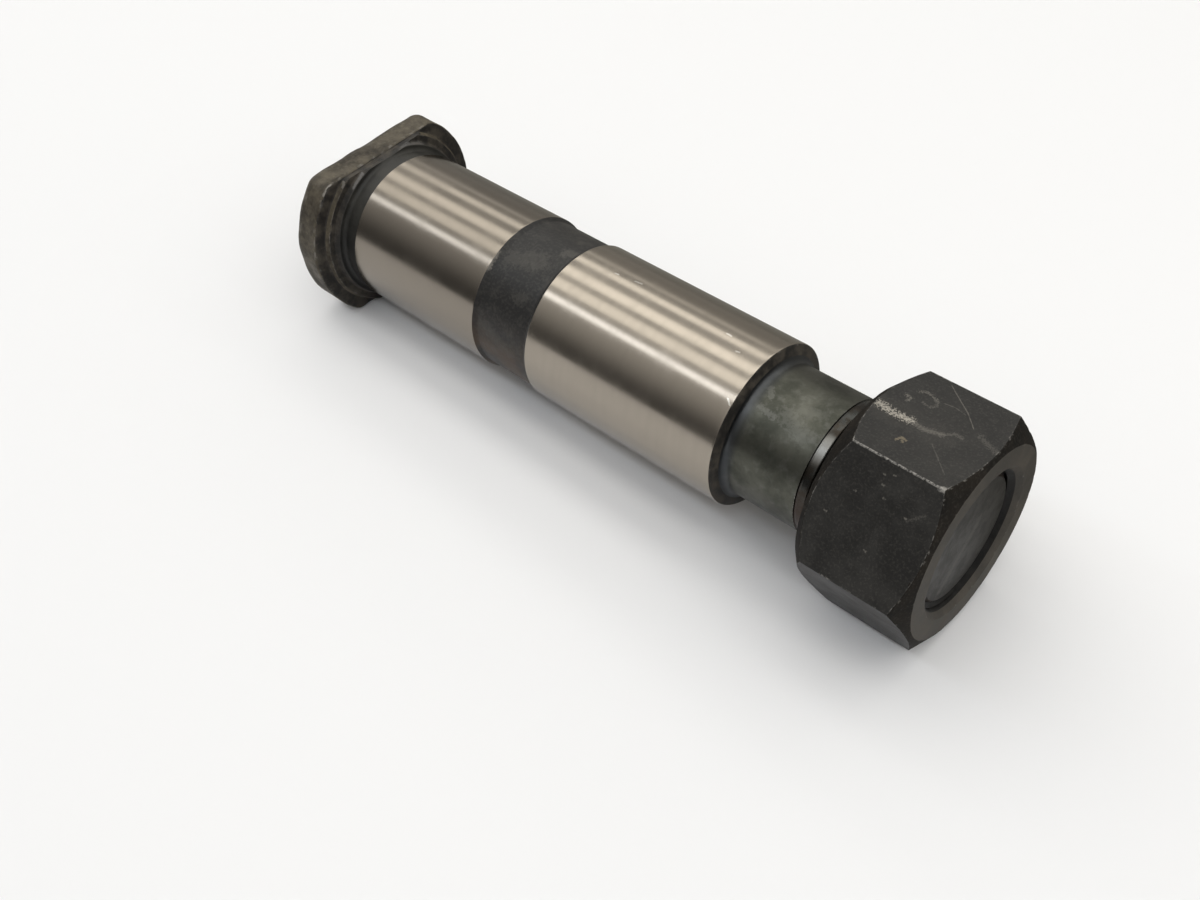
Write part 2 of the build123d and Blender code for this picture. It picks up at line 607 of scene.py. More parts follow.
def shank_rows():
    """Rows from the first land over the band and the shoulder to just before the neck's end."""
    # x, radius, round, wear
    corners = [
        (x_head_land, land_r, 0, 0.3),
        (x_head_land + chamfer_guard, land_r, 0, 0.0),
        (x_band, land_r, land_end_round, 0.6),
        (x_band + band_taper, band_r, 0.6, 0.0),
        (x_nut_land - band_taper, band_r, 0.5, 0.0),
        (x_nut_land, land_r, land_end_round, 0.8),
        (x_shoulder, land_r, 0.3, 1.0),
        (x_shoulder + shoulder_rake, neck_r, shoulder_fillet, 0.0),
        (x_ring, neck_r, 0, 0.0),
    ]
    return sweep(*rounded(corners, pin_count))


print("neck radius", neck_r, "from", round(x_neck, 1), "to", round(x_thread, 1), "mm")

# %% [markdown]
# The thread is cut last. Beside the neck it runs out in one smooth ring behind a fine groove, which shines
# in front of the nut; then its ridges grow out of the core, and at the pin's end they are chamfered. The
# end face is flat. It is drawn a millimetre further out than the solid's, where the photograph has it.

# %% Thread and end of the pin
end_face_r = 10.8
end_face_shares = (1, 0.99, 0.95, 0.85, 0.7, 0.55, 0.4, 0.2, 0)
tip_beyond_solid = 1.0
x_tip = x_end + tip_beyond_solid
ring_groove = 0.2
x_groove = x_thread + 0.2
x_ring_top = x_thread + 0.5
x_ring_fall = x_thread + 1.7
x_run_out = x_thread + 2.5
x_ridges = x_thread + 2.8
ridges_grow_over = 1.2
crest_depth = 0.15
crest_wear = 0.8


def ring_rows():
    """Rows over the neck's edge, a fine groove and the ring in which the thread runs out."""
    # x, radius, round, wear
    corners = [
        (x_ring, neck_r, 0, 0.0),
        (x_thread, neck_r, 0.08, 0.8),
        (x_groove, neck_r - ring_groove, 0.06, 0.0),
        (x_ring_top, thread_major_r, 0.3, 0.3),
        (x_ring_fall, thread_major_r, 0.6, 0.3),
        (x_run_out, thread_root_r, 0.25, 0.0),
        (x_ridges, thread_root_r, 0, 0.0),
    ]
    return sweep(*rounded(corners, pin_count, guard=0.04))


def pin_thread_radius(x, height):
    """Radius of the thread: ridges that grow on the core, inside the chamfer at the end."""
    growing = np.clip((x - x_ridges) / ridges_grow_over, 0, 1)
    ridges = thread_root_r + (thread_major_r - thread_root_r) * height * growing
    return np.minimum(ridges, end_face_r + (x_tip - x))


def thread_rows():
    """The threaded end as a grid that follows the helix."""
    x, radius, turn_rows = helix_rows(x_ridges, x_tip, pin_angles, pin_thread_radius)
    wear = np.clip((radius - thread_major_r + crest_depth) / crest_depth, 0, 1) * crest_wear
    return x, radius, wear, turn_rows


def end_rows():
    """The flat face at the threaded end."""
    radius = np.array(end_face_shares)[:, None] * np.full(pin_count, end_face_r)
    return np.full_like(radius, x_tip), radius, np.zeros_like(radius), 0


pin_grids = [head_grid, boss_grid, shank_rows(), ring_rows(), thread_rows(), end_rows()]
pin_mesh = skin("pin_body", pin_grids, pin_angles)

# %% [markdown]
# A forged head is never quite flat: the die leaves soft hollows, and handling knocks the rims. A displace
# modifier could move the points, but only the head may move and the ground lands must stay true, so the
# points are moved here, along their normals, and the movement fades out at the undercut. The nut's edges
# get the same small dents.

# %% Forged unevenness and dents
hollow_depth = 0.24
hollow_size = 4.5
hollow_level = 0.3
dent_depth = 0.16
dent_size = 1.5
dent_level = 0.1
dent_shift = Vector((7, 3, 1))
fade_length = 1.5


def wear_down(mesh, last_x, hollow_share):
    """Moves points in along their normals: hollows on forged faces, dents on worn edges."""
    edge = mesh.attributes["edge"].data
    places = []
    for vertex in mesh.vertices:
        hollow = noise.noise(vertex.co / (hollow_size * MM)) - hollow_level
        dent = max(noise.noise(vertex.co / (dent_size * MM) + dent_shift) - dent_level, 0)
        fade = min(max((last_x - vertex.co.x / MM) / fade_length, 0), 1)
        depth = hollow_depth * hollow * hollow_share - dent_depth * dent * edge[vertex.index].value
        places.append(vertex.co + vertex.normal * depth * fade * MM)
    for vertex, place in zip(mesh.vertices, places):
        vertex.co = place


wear_down(pin_mesh, x_seat, hollow_share=1)
pin_mesh.set_sharp_from_angle(angle=crease_angle)
print("head made uneven by about", hollow_depth, "mm")

# %% [markdown]
# ## The nut
# The nut is cut from hexagon bar, chamfered at both ends on the lathe, drilled, countersunk and tapped.
# The chamfer cones meet the six flats in the curved lines that every nut shows. They could be cut with a
# boolean, but a formula gives them exactly: in each column the chamfer starts at the station where the
# cone is as wide as the hexagon.

# %% Columns and outline of the nut
nut_flat_half = 17.8
nut_turn = radians(-5.25)
nut_corner_round = 0.2
nut_flat_columns = 35
nut_corner_columns = 5
nut_column_guard = 0.2


def nut_columns():
    """Angles round the nut with their hexagon radius, and how much of an edge each column is."""
    flat_end = (nut_flat_half - nut_corner_round) * tan(pi / 6)
    guarded_end = flat_end - nut_column_guard
    along = np.append(np.linspace(-guarded_end, guarded_end, nut_flat_columns), [-flat_end, flat_end])
    flat = np.sort(np.arctan(along / nut_flat_half))
    corner_centre = (nut_flat_half - nut_corner_round) / cos(pi / 6)
    corner_off = np.linspace(-1, 1, nut_corner_columns + 2)[1:-1] * (pi / 6 - flat[-1])
    corner_r = corner_centre * np.cos(corner_off)
    corner_r += np.sqrt(nut_corner_round**2 - (corner_centre * np.sin(corner_off)) ** 2)
    at_end = np.isclose(np.abs(flat), flat[-1]).astype(float)
    middles = pi / 2 + nut_turn + np.arange(6) * pi / 3
    angles = np.concatenate([np.append(m + flat, m + pi / 6 + corner_off) for m in middles]) % (2 * pi)
    radii = np.tile(np.append(nut_flat_half / np.cos(flat), corner_r), 6)
    edges = np.tile(np.append(at_end, np.ones(nut_corner_columns)), 6)
    order = np.argsort(angles)
    return angles[order], radii[order], edges[order]


nut_angles, nut_hexagon, nut_edges = nut_columns()
nut_count = len(nut_angles)
print("the nut has", nut_count, "columns, widest radius", round(nut_hexagon.max(), 2))

# %% Outside of the nut
nut_back_face_r = 16.65
nut_back_slope = tan(radians(42))
nut_front_face_r = 16.95
nut_front_slope = tan(radians(30))
nut_back_mouth_r = 12.9
nut_front_mouth_r = 13.3
mouth_depth = 0.85
flat_margin = 0.01


def nut_outside():
    """Rows from the back mouth over the back face, the flats and the front face to the front mouth."""
    back_rise = x_nut + (nut_hexagon - nut_back_face_r) * nut_back_slope
    front_fall = x_nut_front - (nut_hexagon - nut_front_face_r) * nut_front_slope
    # x, radius, round, wear
    corners = [
        (x_nut + mouth_depth, nut_back_mouth_r - mouth_depth, 0, 0.0),
        (x_nut, nut_back_mouth_r, 0.1, 0.6),
        (x_nut, nut_back_face_r, 0.25, 0.7),
        (back_rise, nut_hexagon, 0.3, 0.7),
        (front_fall, nut_hexagon, 0.3, 0.8),
        (x_nut_front, nut_front_face_r, 0.5, 0.5),
        (x_nut_front, nut_front_mouth_r, 0.25, 0.6),
        (x_nut_front - mouth_depth, nut_front_mouth_r - mouth_depth, 0, 0.0),
    ]
    x, radius, wear, turn_rows = sweep(*rounded(corners, nut_count, guard=0.18))
    on_flats = radius > nut_hexagon - flat_margin
    return x, radius, np.maximum(wear, on_flats * nut_edges), turn_rows


print("nut from", round(x_nut, 1), "to", round(x_nut_front, 1), "mm")

# %% [markdown]
# Inside, the nut's thread is the pin's thread with a little air round it, cut off at the bore and opened
# by the two countersinks. Since both count from the same origin, the nut fits on the pin at rest and
# whenever it has moved by whole turns.

# %% Thread of the nut
thread_air = 0.06
nut_bore_r = 11.19


def nut_thread_radius(x, height):
    """Radius of the tapped hole, opened by the two countersinks."""
    grooves = np.maximum(thread_root_r + thread_air + (thread_major_r - thread_root_r) * height, nut_bore_r)
    countersinks = np.maximum(nut_back_mouth_r - (x - x_nut), nut_front_mouth_r - (x_nut_front - x))
    return np.maximum(grooves, countersinks)


def nut_inside():
    """The tapped hole as a grid that follows the same helix as the pin's thread."""
    start = x_nut + mouth_depth
    end = x_nut_front - mouth_depth
    x, radius, turn_rows = helix_rows(start, end, nut_angles, nut_thread_radius)
    return x, radius, np.zeros_like(x), turn_rows


nut_mesh = skin("nut_body", [nut_outside(), nut_inside()], nut_angles)
wear_down(nut_mesh, x_nut_front + fade_length, hollow_share=0)
nut_mesh.set_sharp_from_angle(angle=crease_angle)
print("the nut's edges are dented by up to", dent_depth, "mm")

# %% [markdown]
# ## Effects for the finishes
# Several finishes share an effect: the rings that a tool leaves, patches of dirt, edges worn to the
# metal, single scratches, and the grain of scale. Each is built once as a node group with named inputs
# and outputs. Copying the same nodes into each material would work too, but then a change has to be made
# many times. A group puts out only masks and heights; the shader stays in the material. After each group
# comes a helper that places it in a material with that material's own values.


# %% Node groups
def new_group(name, inputs, outputs):
    """A node group with named inputs (name to kind and value) and number outputs."""
    group = bpy.data.node_groups.new(name, "ShaderNodeTree")
    for label, (kind, value) in inputs.items():
        socket = group.interface.new_socket(name=label, in_out="INPUT", socket_type="NodeSocket" + kind)
        socket.default_value = value
    for label in outputs:
        group.interface.new_socket(name=label, in_out="OUTPUT", socket_type="NodeSocketFloat")
    return group, group.nodes.new("NodeGroupInput").outputs, group.nodes.new("NodeGroupOutput").inputs


def put_out(group, sinks, **values):
    """Links the group's results to its outputs."""
    for label, value in values.items():
        group.links.new(value, sinks[label])


def effect(tree, group, **feeds):
    """Places a group in a material and feeds its inputs; returns its outputs."""
    return node(tree, "Group", feeds, node_tree=group).outputs


def clouds(tree, place, scale, detail=3.0, coarse=0.55):
    """Soft noise around 0.5 at a place."""
    feeds = {"Vector": place, "Scale": scale, "Detail": detail, "Roughness": coarse}
    return node(tree, "TexNoise", feeds).outputs["Fac"]


print("groups can be built")

# %% [markdown]
# **Turning marks** are rings round the pin's axis, on walls as on end faces. A wave texture could draw
# them, but each ring would look the same. Noise that is squeezed along the path of the tool, and drawn
# out around the axis, gives rings of different depth that also break off, as on real turned steel.

# %% Turning marks
broad_share = 0.12

turning, fed, out = new_group(
    "Turning marks",
    {"Lines per metre": ("Float", 4000.0), "Breaks per metre": ("Float", 60.0)},
    ["Height", "Tone"])
split = split_place(turning)
across = node(turning, "CombineXYZ", {"Y": split["Y"], "Z": split["Z"]}).outputs[0]
radial = vector_maths(turning, "LENGTH", across)["Value"]
path = maths(turning, "MULTIPLY", maths(turning, "ADD", split["X"], radial), fed["Lines per metre"])
slow_y = maths(turning, "MULTIPLY", split["Y"], fed["Breaks per metre"])
slow_z = maths(turning, "MULTIPLY", split["Z"], fed["Breaks per metre"])
fine = node(turning, "CombineXYZ", {"X": path, "Y": slow_y, "Z": slow_z}).outputs[0]
slow_path = maths(turning, "MULTIPLY", path, broad_share)
broad = node(turning, "CombineXYZ", {"X": slow_path, "Y": slow_y, "Z": slow_z}).outputs[0]
put_out(turning, out, Height=clouds(turning, fine, 1.0), Tone=clouds(turning, broad, 1.0, detail=4.0))


def turned(tree, lines, breaks):
    """Turning marks in a material: the outputs Height and Tone."""
    return effect(tree, turning, **{"Lines per metre": lines, "Breaks per metre": breaks})


print("turning marks ready")

# %% [markdown]
# **Patches** are where oil, dust or scale lies thicker. **Grain** is the fine unevenness of a forged or
# blackened skin: soft bumps with small pits between them.

# %% Patches and grain
patches, fed, out = new_group(
    "Patches", {"Scale": ("Float", 300.0), "Start": ("Float", 0.45), "End": ("Float", 0.6)}, ["Mask"])
cloud = clouds(patches, object_place(patches), fed["Scale"], detail=6.0, coarse=0.62)
put_out(patches, out, Mask=soft_step(patches, cloud, fed["Start"], fed["End"]))

pits_to_bumps = 0.35
pit_breadth = 0.25

grain, fed, out = new_group("Grain", {"Scale": ("Float", 2500.0), "Pits": ("Float", 0.4)}, ["Height"])
place = object_place(grain)
bumps = clouds(grain, place, fed["Scale"], detail=4.0, coarse=0.6)
pit_scale = maths(grain, "MULTIPLY", fed["Scale"], pits_to_bumps)
pit_feeds = {"Vector": place, "Scale": pit_scale}
pit_gap = node(grain, "TexVoronoi", pit_feeds, feature="F1").outputs["Distance"]
pit_depth = maths(grain, "MULTIPLY", soft_step(grain, pit_gap, pit_breadth, 0.0), fed["Pits"])
put_out(grain, out, Height=maths(grain, "SUBTRACT", bumps, pit_depth))


def patchy(tree, scale, start, end):
    """Patches in a material, as a mask; the lower start and end are, the more is covered."""
    return effect(tree, patches, Scale=scale, Start=start, End=end)["Mask"]


def grainy(tree, scale, pits):
    """Grain in a material, as a height."""
    return effect(tree, grain, Scale=scale, Pits=pits)["Height"]


print("patches and grain ready")

# %% [markdown]
# **Worn edges** read the attribute that the mesh carries, and break it up with noise, because handling
# rubs through the black in some places and leaves it in others. Blender's Pointiness would find edges
# too, but only in its own renderer and only where the mesh is dense.

# %% Worn edges
unworn_level = 0.60
wear_lowers_by = -0.25
rub_softness = 0.17
edge_from = 0.25
edge_to = 0.9

worn_edges, fed, out = new_group(
    "Worn edges", {"Wear": ("Float", 0.5), "Scale": ("Float", 700.0)}, ["Mask"])
on_edge = node(worn_edges, "Attribute", attribute_name="edge").outputs["Fac"]
broken = clouds(worn_edges, object_place(worn_edges), fed["Scale"], detail=5.0, coarse=0.65)
rubbed_from = maths(worn_edges, "MULTIPLY_ADD", fed["Wear"], wear_lowers_by, unworn_level)
rubbed_to = maths(worn_edges, "ADD", rubbed_from, rub_softness)
touched = soft_step(worn_edges, broken, rubbed_from, rubbed_to)
at_edge = soft_step(worn_edges, on_edge, edge_from, edge_to)
put_out(worn_edges, out, Mask=maths(worn_edges, "MULTIPLY", touched, at_edge))


def worn_at(tree, wear, scale):
    """Worn edges in a material, as a mask; wear runs from 0 to 1."""
    return effect(tree, worn_edges, Wear=wear, Scale=scale)["Mask"]


print("worn edges ready")

# %% [markdown]
# **Strokes** are single marks: a scratch, a scuff, a smudge. Each runs from one point of the surface to
# another and fades with the distance from that line, and its grit breaks it up into specks. An image
# would hold such marks too, but strokes stay sharp at any distance, and each can be named after what it
# stands for.

# %% Strokes
speck_spread = 1.8
speck_middle = -0.9
outer_share = 1.2
inner_share = 0.7
mark_from = 0.35
mark_to = 0.95

stroke, fed, out = new_group(
    "Stroke",
    {"Start": ("Vector", (0, 0, 0)), "End": ("Vector", (0, 0, 0)),
     "Width": ("Float", 0.0005), "Grit": ("Float", 0.5), "Grit scale": ("Float", 3000.0)},
    ["Mask"])
place = object_place(stroke)
along = vector_maths(stroke, "SUBTRACT", fed["End"], fed["Start"])["Vector"]
offset = vector_maths(stroke, "SUBTRACT", place, fed["Start"])["Vector"]
covered = vector_maths(stroke, "DOT_PRODUCT", offset, along)["Value"]
square = vector_maths(stroke, "DOT_PRODUCT", along, along)["Value"]
share = node(stroke, "Clamp", {"Value": maths(stroke, "DIVIDE", covered, square)}).outputs[0]
nearest = node(stroke, "VectorMath", {0: along, "Scale": share}, operation="SCALE").outputs["Vector"]
gap = vector_maths(stroke, "DISTANCE", offset, nearest)["Value"]
near = soft_step(stroke, gap, fed["Width"], 0.0)
grit = clouds(stroke, place, fed["Grit scale"], detail=4.0, coarse=0.7)
specks = maths(stroke, "MULTIPLY_ADD", grit, speck_spread, speck_middle)
gritty = maths(stroke, "MULTIPLY_ADD", specks, fed["Grit"], near)
outer = maths(stroke, "MULTIPLY", fed["Width"], outer_share)
inner = maths(stroke, "MULTIPLY", fed["Width"], inner_share)
within = soft_step(stroke, gap, outer, inner)
put_out(stroke, out, Mask=maths(stroke, "MULTIPLY", soft_step(stroke, gritty, mark_from, mark_to), within))


def strongest(tree, masks):
    """The strongest of several masks at each point."""
    whole = masks[0]
    for mask in masks[1:]:
        whole = maths(tree, "MAXIMUM", whole, mask)
    return whole


def trail(tree, points, width, grit, strength=1.0, grit_scale=3000.0):
    """A chain of strokes through points in millimetres, as one mask."""
    masks = []
    for start, end in zip(points, points[1:]):
        feeds = {"Start": Vector(start) * MM, "End": Vector(end) * MM, "Width": width * MM, "Grit": grit}
        masks.append(effect(tree, stroke, **feeds, **{"Grit scale": grit_scale})["Mask"])
    whole = strongest(tree, masks)
    return whole if strength == 1 else maths(tree, "MULTIPLY", whole, strength)


def trails(tree, rows):
    """Several trails as one mask; a row holds what trail() takes, and the strongest counts."""
    return strongest(tree, [trail(tree, *row) for row in rows])


print("strokes ready")

# %% [markdown]
# ## Finishes of the pin
# Every finish is a Principled shader whose colour and roughness come from the effects. A finish that is
# the same all over, such as the specular level of scale, is set on the shader itself.


# %% Finish helpers
def finish(name, specular=0.5, metallic=0.0):
    """A new material with its node tree and its shader."""
    material = bpy.data.materials.new(name)
    material.use_nodes = True
    shader = material.node_tree.nodes["Principled BSDF"]
    shader.inputs["Specular IOR Level"].default_value = specular
    shader.inputs["Metallic"].default_value = metallic
    return material, material.node_tree, shader


def bumped(tree, height, depth):
    """A normal from a height that is depth millimetres from its lowest to its highest."""
    return node(tree, "Bump", {"Height": height, "Distance": depth * MM}).outputs[0]


def value_between(tree, mask, bare, covered):
    """A number that is bare where a mask is 0 and covered where it is 1."""
    return maths(tree, "MULTIPLY_ADD", mask, covered - bare, bare)


def on_pin(x, angle, radius):
    """A point on the pin's surface, in millimetres, at a station and an angle in degrees."""
    return x, radius * cos(radians(angle)), radius * sin(radians(angle))


def pin_trails(tree, radius, rows):
    """Short trails on a round wall: from (x, degrees) to (x, degrees), then what trail() takes."""
    found = []
    for x_from, angle_from, x_to, angle_to, *how in rows:
        points = [on_pin(x_from, angle_from, radius), on_pin(x_to, angle_to, radius)]
        found.append(trail(tree, points, *how))
    return strongest(tree, found)


print("finishes can be made")

# %% [markdown]
# ** Forged scale** covers the head's rim and flats: a hard brown-grey skin, lighter and dustier where it
# has been rubbed, with grey metal only just showing on the rims, and with painted highlights where the
# rims meet the flats. A darker copy of the same skin, nearly black with painted shade, lies in the corner
# between the flange and the boss.

# %% Forged scale
scale_dark = rgb(0.026, 0.0210, 0.0150)
scale_light = rgb(0.082, 0.069, 0.048)
scale_dust = rgb(0.150, 0.130, 0.092)
scale_worn_and_highlight = rgb(0.24, 0.225, 0.205)

forged_scale, tree, shader = finish("forged_scale", specular=0.26)
mottled = patchy(tree, scale=240, start=0.34, end=0.68)
speckled = patchy(tree, scale=1100, start=0.44, end=0.72)
dusty = patchy(tree, scale=300, start=0.56, end=0.76)
worn = worn_at(tree, wear=0.45, scale=520)
# the first two trails are painted highlights where the inner rim and the boss meet the flat; the third is a
# rubbed streak on the rim
# points, width in mm, grit, strength, scale of the grit
highlights_and_rubbed_spots = trails(tree, [
    ([(x_flange - 0.2, -12.6, 15.1), (x_flange - 0.25, -14.4, 13.8)], 0.9, 0.7, 0.8, 1800.0),
    ([(x_flange + 0.2, -9.6, 14.7), (x_boss - 0.2, -10.6, 13.9)], 0.7, 0.7, 0.4, 1800.0),
    ([(x_flange - 0.3, -15.2, 13.0), (x_flange - 0.2, -19.4, 5.0)], 0.7, 0.9, 0.35, 1400.0),
])
skin_colour = layered(tree, scale_dark, [
    (mottled, 1, scale_light),
    (speckled, 0.28, scale_dust),
    (dusty, 0.6, scale_dust),
    (worn, 0.4, scale_worn_and_highlight),
    (highlights_and_rubbed_spots, 1, scale_worn_and_highlight),
])
feed(tree, shader, {
    "Base Color": skin_colour,
    "Roughness": value_between(tree, mottled, 0.62, 0.48),
    "Normal": bumped(tree, grainy(tree, scale=1500, pits=0.5), depth=0.06),
})
print("forged scale ready")

# %% Shaded scale
# a darker copy of the forged scale, nearly black: painted shade in the corner between flange and boss, and on
# the shoulder
shaded_black = rgb(0.0175, 0.0162, 0.0148)
shaded_brown = rgb(0.062, 0.054, 0.044)
shaded_worn_and_highlight = rgb(0.15, 0.145, 0.14)
ring_r = (seat_ring_r + ring_foot_r) / 2

oily_scale, tree, shader = finish("oily_scale", specular=0.2)
mottled = patchy(tree, scale=330, start=0.38, end=0.68)
worn = worn_at(tree, wear=0.35, scale=800)
# a painted highlight on the edge of the seat ring
seat_ring_highlight = pin_trails(tree, ring_r, [(x_seat - 0.4, 113, x_seat - 0.2, 124, 0.8, 0.8, 0.7, 1800.0)])
far_spot = pin_trails(tree, ring_r, [(x_seat - 0.3, 78, x_seat - 0.3, 56, 1.3, 1.0, 0.35, 1500.0)])
skin_colour = layered(tree, shaded_black, [
    (mottled, 1, shaded_brown),
    (worn, 0.4, shaded_worn_and_highlight),
    (seat_ring_highlight, 1, shaded_worn_and_highlight),
    (far_spot, 1, shaded_worn_and_highlight),
])
feed(tree, shader, {
    "Base Color": skin_colour,
    "Roughness": value_between(tree, mottled, 0.45, 0.60),
    "Normal": bumped(tree, grainy(tree, scale=1700, pits=0.4), depth=0.04),
})
print("oily scale ready")

# %% [markdown]
# **Ground steel** is the finish of the lands. Grinding leaves a fine lay around the axis, so fine that it
# shows as a soft sheen rather than as lines, and the steel is a warm grey. Handling has dulled it in soft
# patches. The land beside the head is a little darker than the other one. A brushed look could come from
# the shader's anisotropy; the lay in the normal does it here and survives the export.

# %% Ground steel
steel_bright = rgb(0.345, 0.309, 0.262)
steel_dull = rgb(0.300, 0.268, 0.226)
head_side_steel = rgb(0.240, 0.214, 0.181)
steel_glint = rgb(0.80, 0.78, 0.72)
side_margin = 2
smudge_weight = 0.35
dull_weight = 0.65

ground_steel, tree, shader = finish("ground_steel", metallic=1.0)
marks = turned(tree, lines=7000, breaks=90)
dulled = patchy(tree, scale=110, start=0.40, end=0.66)
smudged = patchy(tree, scale=420, start=0.45, end=0.75)
station = split_place(tree)["X"]
head_side = soft_step(tree, station, (x_nut_land - side_margin) * MM, (x_band + side_margin) * MM)
# from x and degrees, to x and degrees, width in mm, grit, strength
land_glints = pin_trails(tree, land_r, [
    (0.9, 83.2, 2.1, 82.6, 0.40, 1.0, 0.6),
    (-3.2, 85.4, -2.6, 85.0, 0.35, 1.0, 0.5),
    (21.2, 86.1, 22.1, 86.1, 0.35, 1.0, 0.5),
    (24.9, 94.9, 25.5, 94.7, 0.35, 1.0, 0.5),
    (28.9, 124.0, 29.8, 127.0, 0.35, 0.8, 0.5),
])
steel_colour = layered(tree, steel_bright, [
    (marks["Tone"], 0.9, steel_dull),
    (head_side, 1, head_side_steel),
    (land_glints, 1, steel_glint),
])
dull_share = maths(tree, "MULTIPLY_ADD", smudged, smudge_weight, maths(tree, "MULTIPLY", dulled, dull_weight))
feed(tree, shader, {
    "Base Color": steel_colour,
    "Roughness": value_between(tree, dull_share, 0.165, 0.235),
    "Normal": bumped(tree, marks["Height"], depth=0.0012),
})
print("ground steel ready")

# %% [markdown]
# ** The undercut** was turned but never ground, and it has kept its dark skin; painted light makes it a
# little lighter towards the top. The **band** between the lands is a black oxide skin: nearly without
# shine, browner underneath, with pale rubbed smudges, and at one place the grinding wheel ran out over
# its edge. It is one dielectric skin, so only that place is metal.

# %% Undercut
undercut_dark = rgb(0.006, 0.0058, 0.0052)
undercut_stain = rgb(0.014, 0.0134, 0.0118)
undercut_painted_light = rgb(0.031, 0.0295, 0.025)
light_from_z = 2
light_to_z = 13
light_least = 0.35
light_more = 0.6

undercut_black, tree, shader = finish("undercut_black", specular=0.35)
marks = turned(tree, lines=3500, breaks=70)
stained = patchy(tree, scale=260, start=0.35, end=0.70)
# painted light: the undercut grows lighter towards the top, most in the stained patches
painted_light_upward = soft_step(tree, split_place(tree)["Z"], light_from_z * MM, light_to_z * MM)
wiped_and_lit = maths(tree, "MULTIPLY", painted_light_upward, maths(tree, "MULTIPLY_ADD", stained, light_more, light_least))
undercut_colour = layered(tree, undercut_dark, [
    (stained, 1, undercut_stain),
    (wiped_and_lit, 1, undercut_painted_light),
])
feed(tree, shader, {
    "Base Color": undercut_colour,
    "Roughness": value_between(tree, stained, 0.48, 0.58),
    "Normal": bumped(tree, marks["Height"], depth=0.004),
})
print("undercut ready")

# %% Band
oxide_black = rgb(0.0125, 0.0120, 0.0118)
oxide_brown = rgb(0.046, 0.0265, 0.0130)
oxide_rubbed = rgb(0.071, 0.0665, 0.058)
run_out_steel = rgb(0.24, 0.22, 0.19)
brown_from_z = 8
brown_to_z = -3

band_black, tree, shader = finish("band_black", specular=0.3)
marks = turned(tree, lines=2500, breaks=80)
browner = soft_step(tree, split_place(tree)["Z"], brown_from_z * MM, brown_to_z * MM)
brown_patch = patchy(tree, scale=160, start=0.30, end=0.62)
rubbed_patch = patchy(tree, scale=300, start=0.48, end=0.74)
speckled = patchy(tree, scale=1900, start=0.44, end=0.66)
# from x and degrees, to x and degrees, width in mm, grit, strength, scale of the grit
smudges = pin_trails(tree, band_r, [
    (-14.2, 88, -13.2, 86.5, 2.4, 1.4, 0.5, 1500.0),
    (-22.5, 165, -16.2, 178, 3.0, 1.3, 0.25, 900.0),
    (-16.4, 136, -15.2, 133, 2.2, 1.5, 0.28, 1300.0),
    (-21.5, 112, -17.0, 104, 4.5, 1.4, 0.35, 800.0),
])
run_out = pin_trails(tree, land_r, [(-24.9, 114, -24.7, 127, 1.1, 1.2, 0.45, 1800.0)])
band_colour = layered(tree, oxide_black, [
    (maths(tree, "MULTIPLY", browner, brown_patch), 1, oxide_brown),
    (rubbed_patch, 0.35, oxide_rubbed),
    (speckled, 0.24, oxide_rubbed),
    (smudges, 1, oxide_rubbed),
    (run_out, 1, run_out_steel),
])
feed(tree, shader, {
    "Base Color": band_colour,
    "Metallic": run_out,
    "Roughness": value_between(tree, run_out, 0.44, 0.28),
    "Normal": bumped(tree, marks["Height"], depth=0.006),
})
print("band ready")

# %% [markdown]
# ** The neck** is turned and oiled: smooth, greenish dark, with wiped stains that shine a little more,
# pale smears with a painted highlight streak among them, and blue-black in the corner of the shoulder.
# The ring beside it has a painted highlight on one side, painted shade in its fine groove, and is brown
# underneath. It shares the neck's material, because a finish that changes at a fine groove needs no
# second one.

# %% Neck
neck_dark = rgb(0.056, 0.058, 0.048)
neck_stain = rgb(0.098, 0.099, 0.083)
neck_wiped_and_highlight = rgb(0.19, 0.19, 0.175)
corner_blue = rgb(0.058, 0.062, 0.070)
wiped_share = 0.4
corner_from = x_shoulder + 3.2
corner_to = x_shoulder + shoulder_rake

oiled_neck, tree, shader = finish("oiled_neck", metallic=1.0)
marks = turned(tree, lines=3200, breaks=60)
stained = patchy(tree, scale=150, start=0.36, end=0.64)
wiped_and_lit = patchy(tree, scale=420, start=0.50, end=0.78)
# smears; the second and third lie along the front lamps' reflection and are painted highlight
# from x and degrees, to x and degrees, width in mm, grit, strength, scale of the grit
neck_smears_and_highlight = pin_trails(tree, neck_r, [
    (32.6, 100, 33.6, 106, 1.2, 1.4, 0.35, 2200.0),
    (33.0, 117, 36.0, 119, 1.2, 1.5, 0.35, 2600.0),
    (37.5, 112, 42.0, 121, 3.4, 1.5, 0.22, 1500.0),
    (39.0, 104, 42.5, 99, 2.2, 1.5, 0.15, 1500.0),
])
split = split_place(tree)
in_corner = soft_step(tree, split["X"], corner_from * MM, corner_to * MM)
neck_colour = layered(tree, neck_dark, [
    (stained, 1, neck_stain),
    (maths(tree, "MAXIMUM", neck_smears_and_highlight, maths(tree, "MULTIPLY", wiped_and_lit, wiped_share)), 1, neck_wiped_and_highlight),
    (in_corner, 0.8, corner_blue),
])
neck_rough = value_between(tree, stained, 0.44, 0.34)
print("neck coloured")

# %% Ring beside the neck
ring_grey = rgb(0.056, 0.057, 0.054)
ring_rust = rgb(0.041, 0.036, 0.030)
ring_brown = rgb(0.046, 0.032, 0.026)
ring_highlight_colour = rgb(0.33, 0.33, 0.315)
groove_shade_colour = rgb(0.022, 0.022, 0.021)
edge_bare = rgb(0.36, 0.36, 0.34)
ring_from = x_thread - 0.03
ring_to = x_thread + 0.05
groove_reach = 0.12
groove_core = 0.04
ring_brown_from_z = 7
ring_brown_to_z = -2
ring_highlight_angle = radians(122)
ring_highlight_breadth = radians(15)
ring_highlight_share = 0.55
ring_smoother = 0.12

